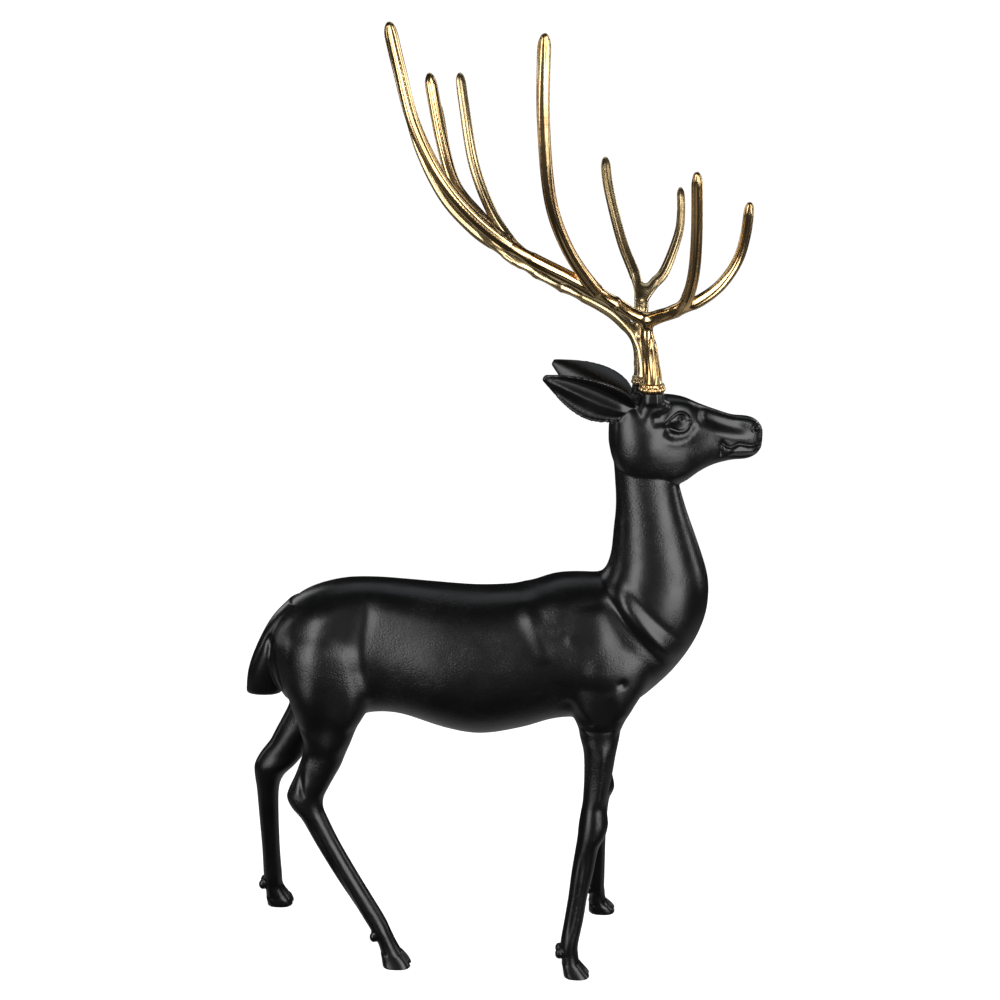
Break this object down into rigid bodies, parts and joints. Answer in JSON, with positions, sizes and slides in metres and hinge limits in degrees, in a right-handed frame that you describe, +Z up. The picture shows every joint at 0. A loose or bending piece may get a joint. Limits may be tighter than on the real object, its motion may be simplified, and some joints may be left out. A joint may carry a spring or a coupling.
{
  "type": "deer sculpture",
  "caption": "Standing stag figure in satin black with tall branching polished brass-coloured antlers; the body and each antler are cast on their own.",
  "frame": {"origin": "middle of the footprint of the whole figure's box, on the ground under the soles", "axes": "+X the way the deer faces, +Y its left side, +Z up"},
  "size_m": [0.3937, 0.1999, 0.7005],
  "materials": {
    "black_coat": "satin black paint over cast aluminium, fine cast grain",
    "polished_brass": "polished brass plate with streaked reflections"
  },
  "bodies": {
    "root": {"deer_body": "black_coat", "right_antler": "polished_brass", "left_antler": "polished_brass"}
  },
  "joints": []
}
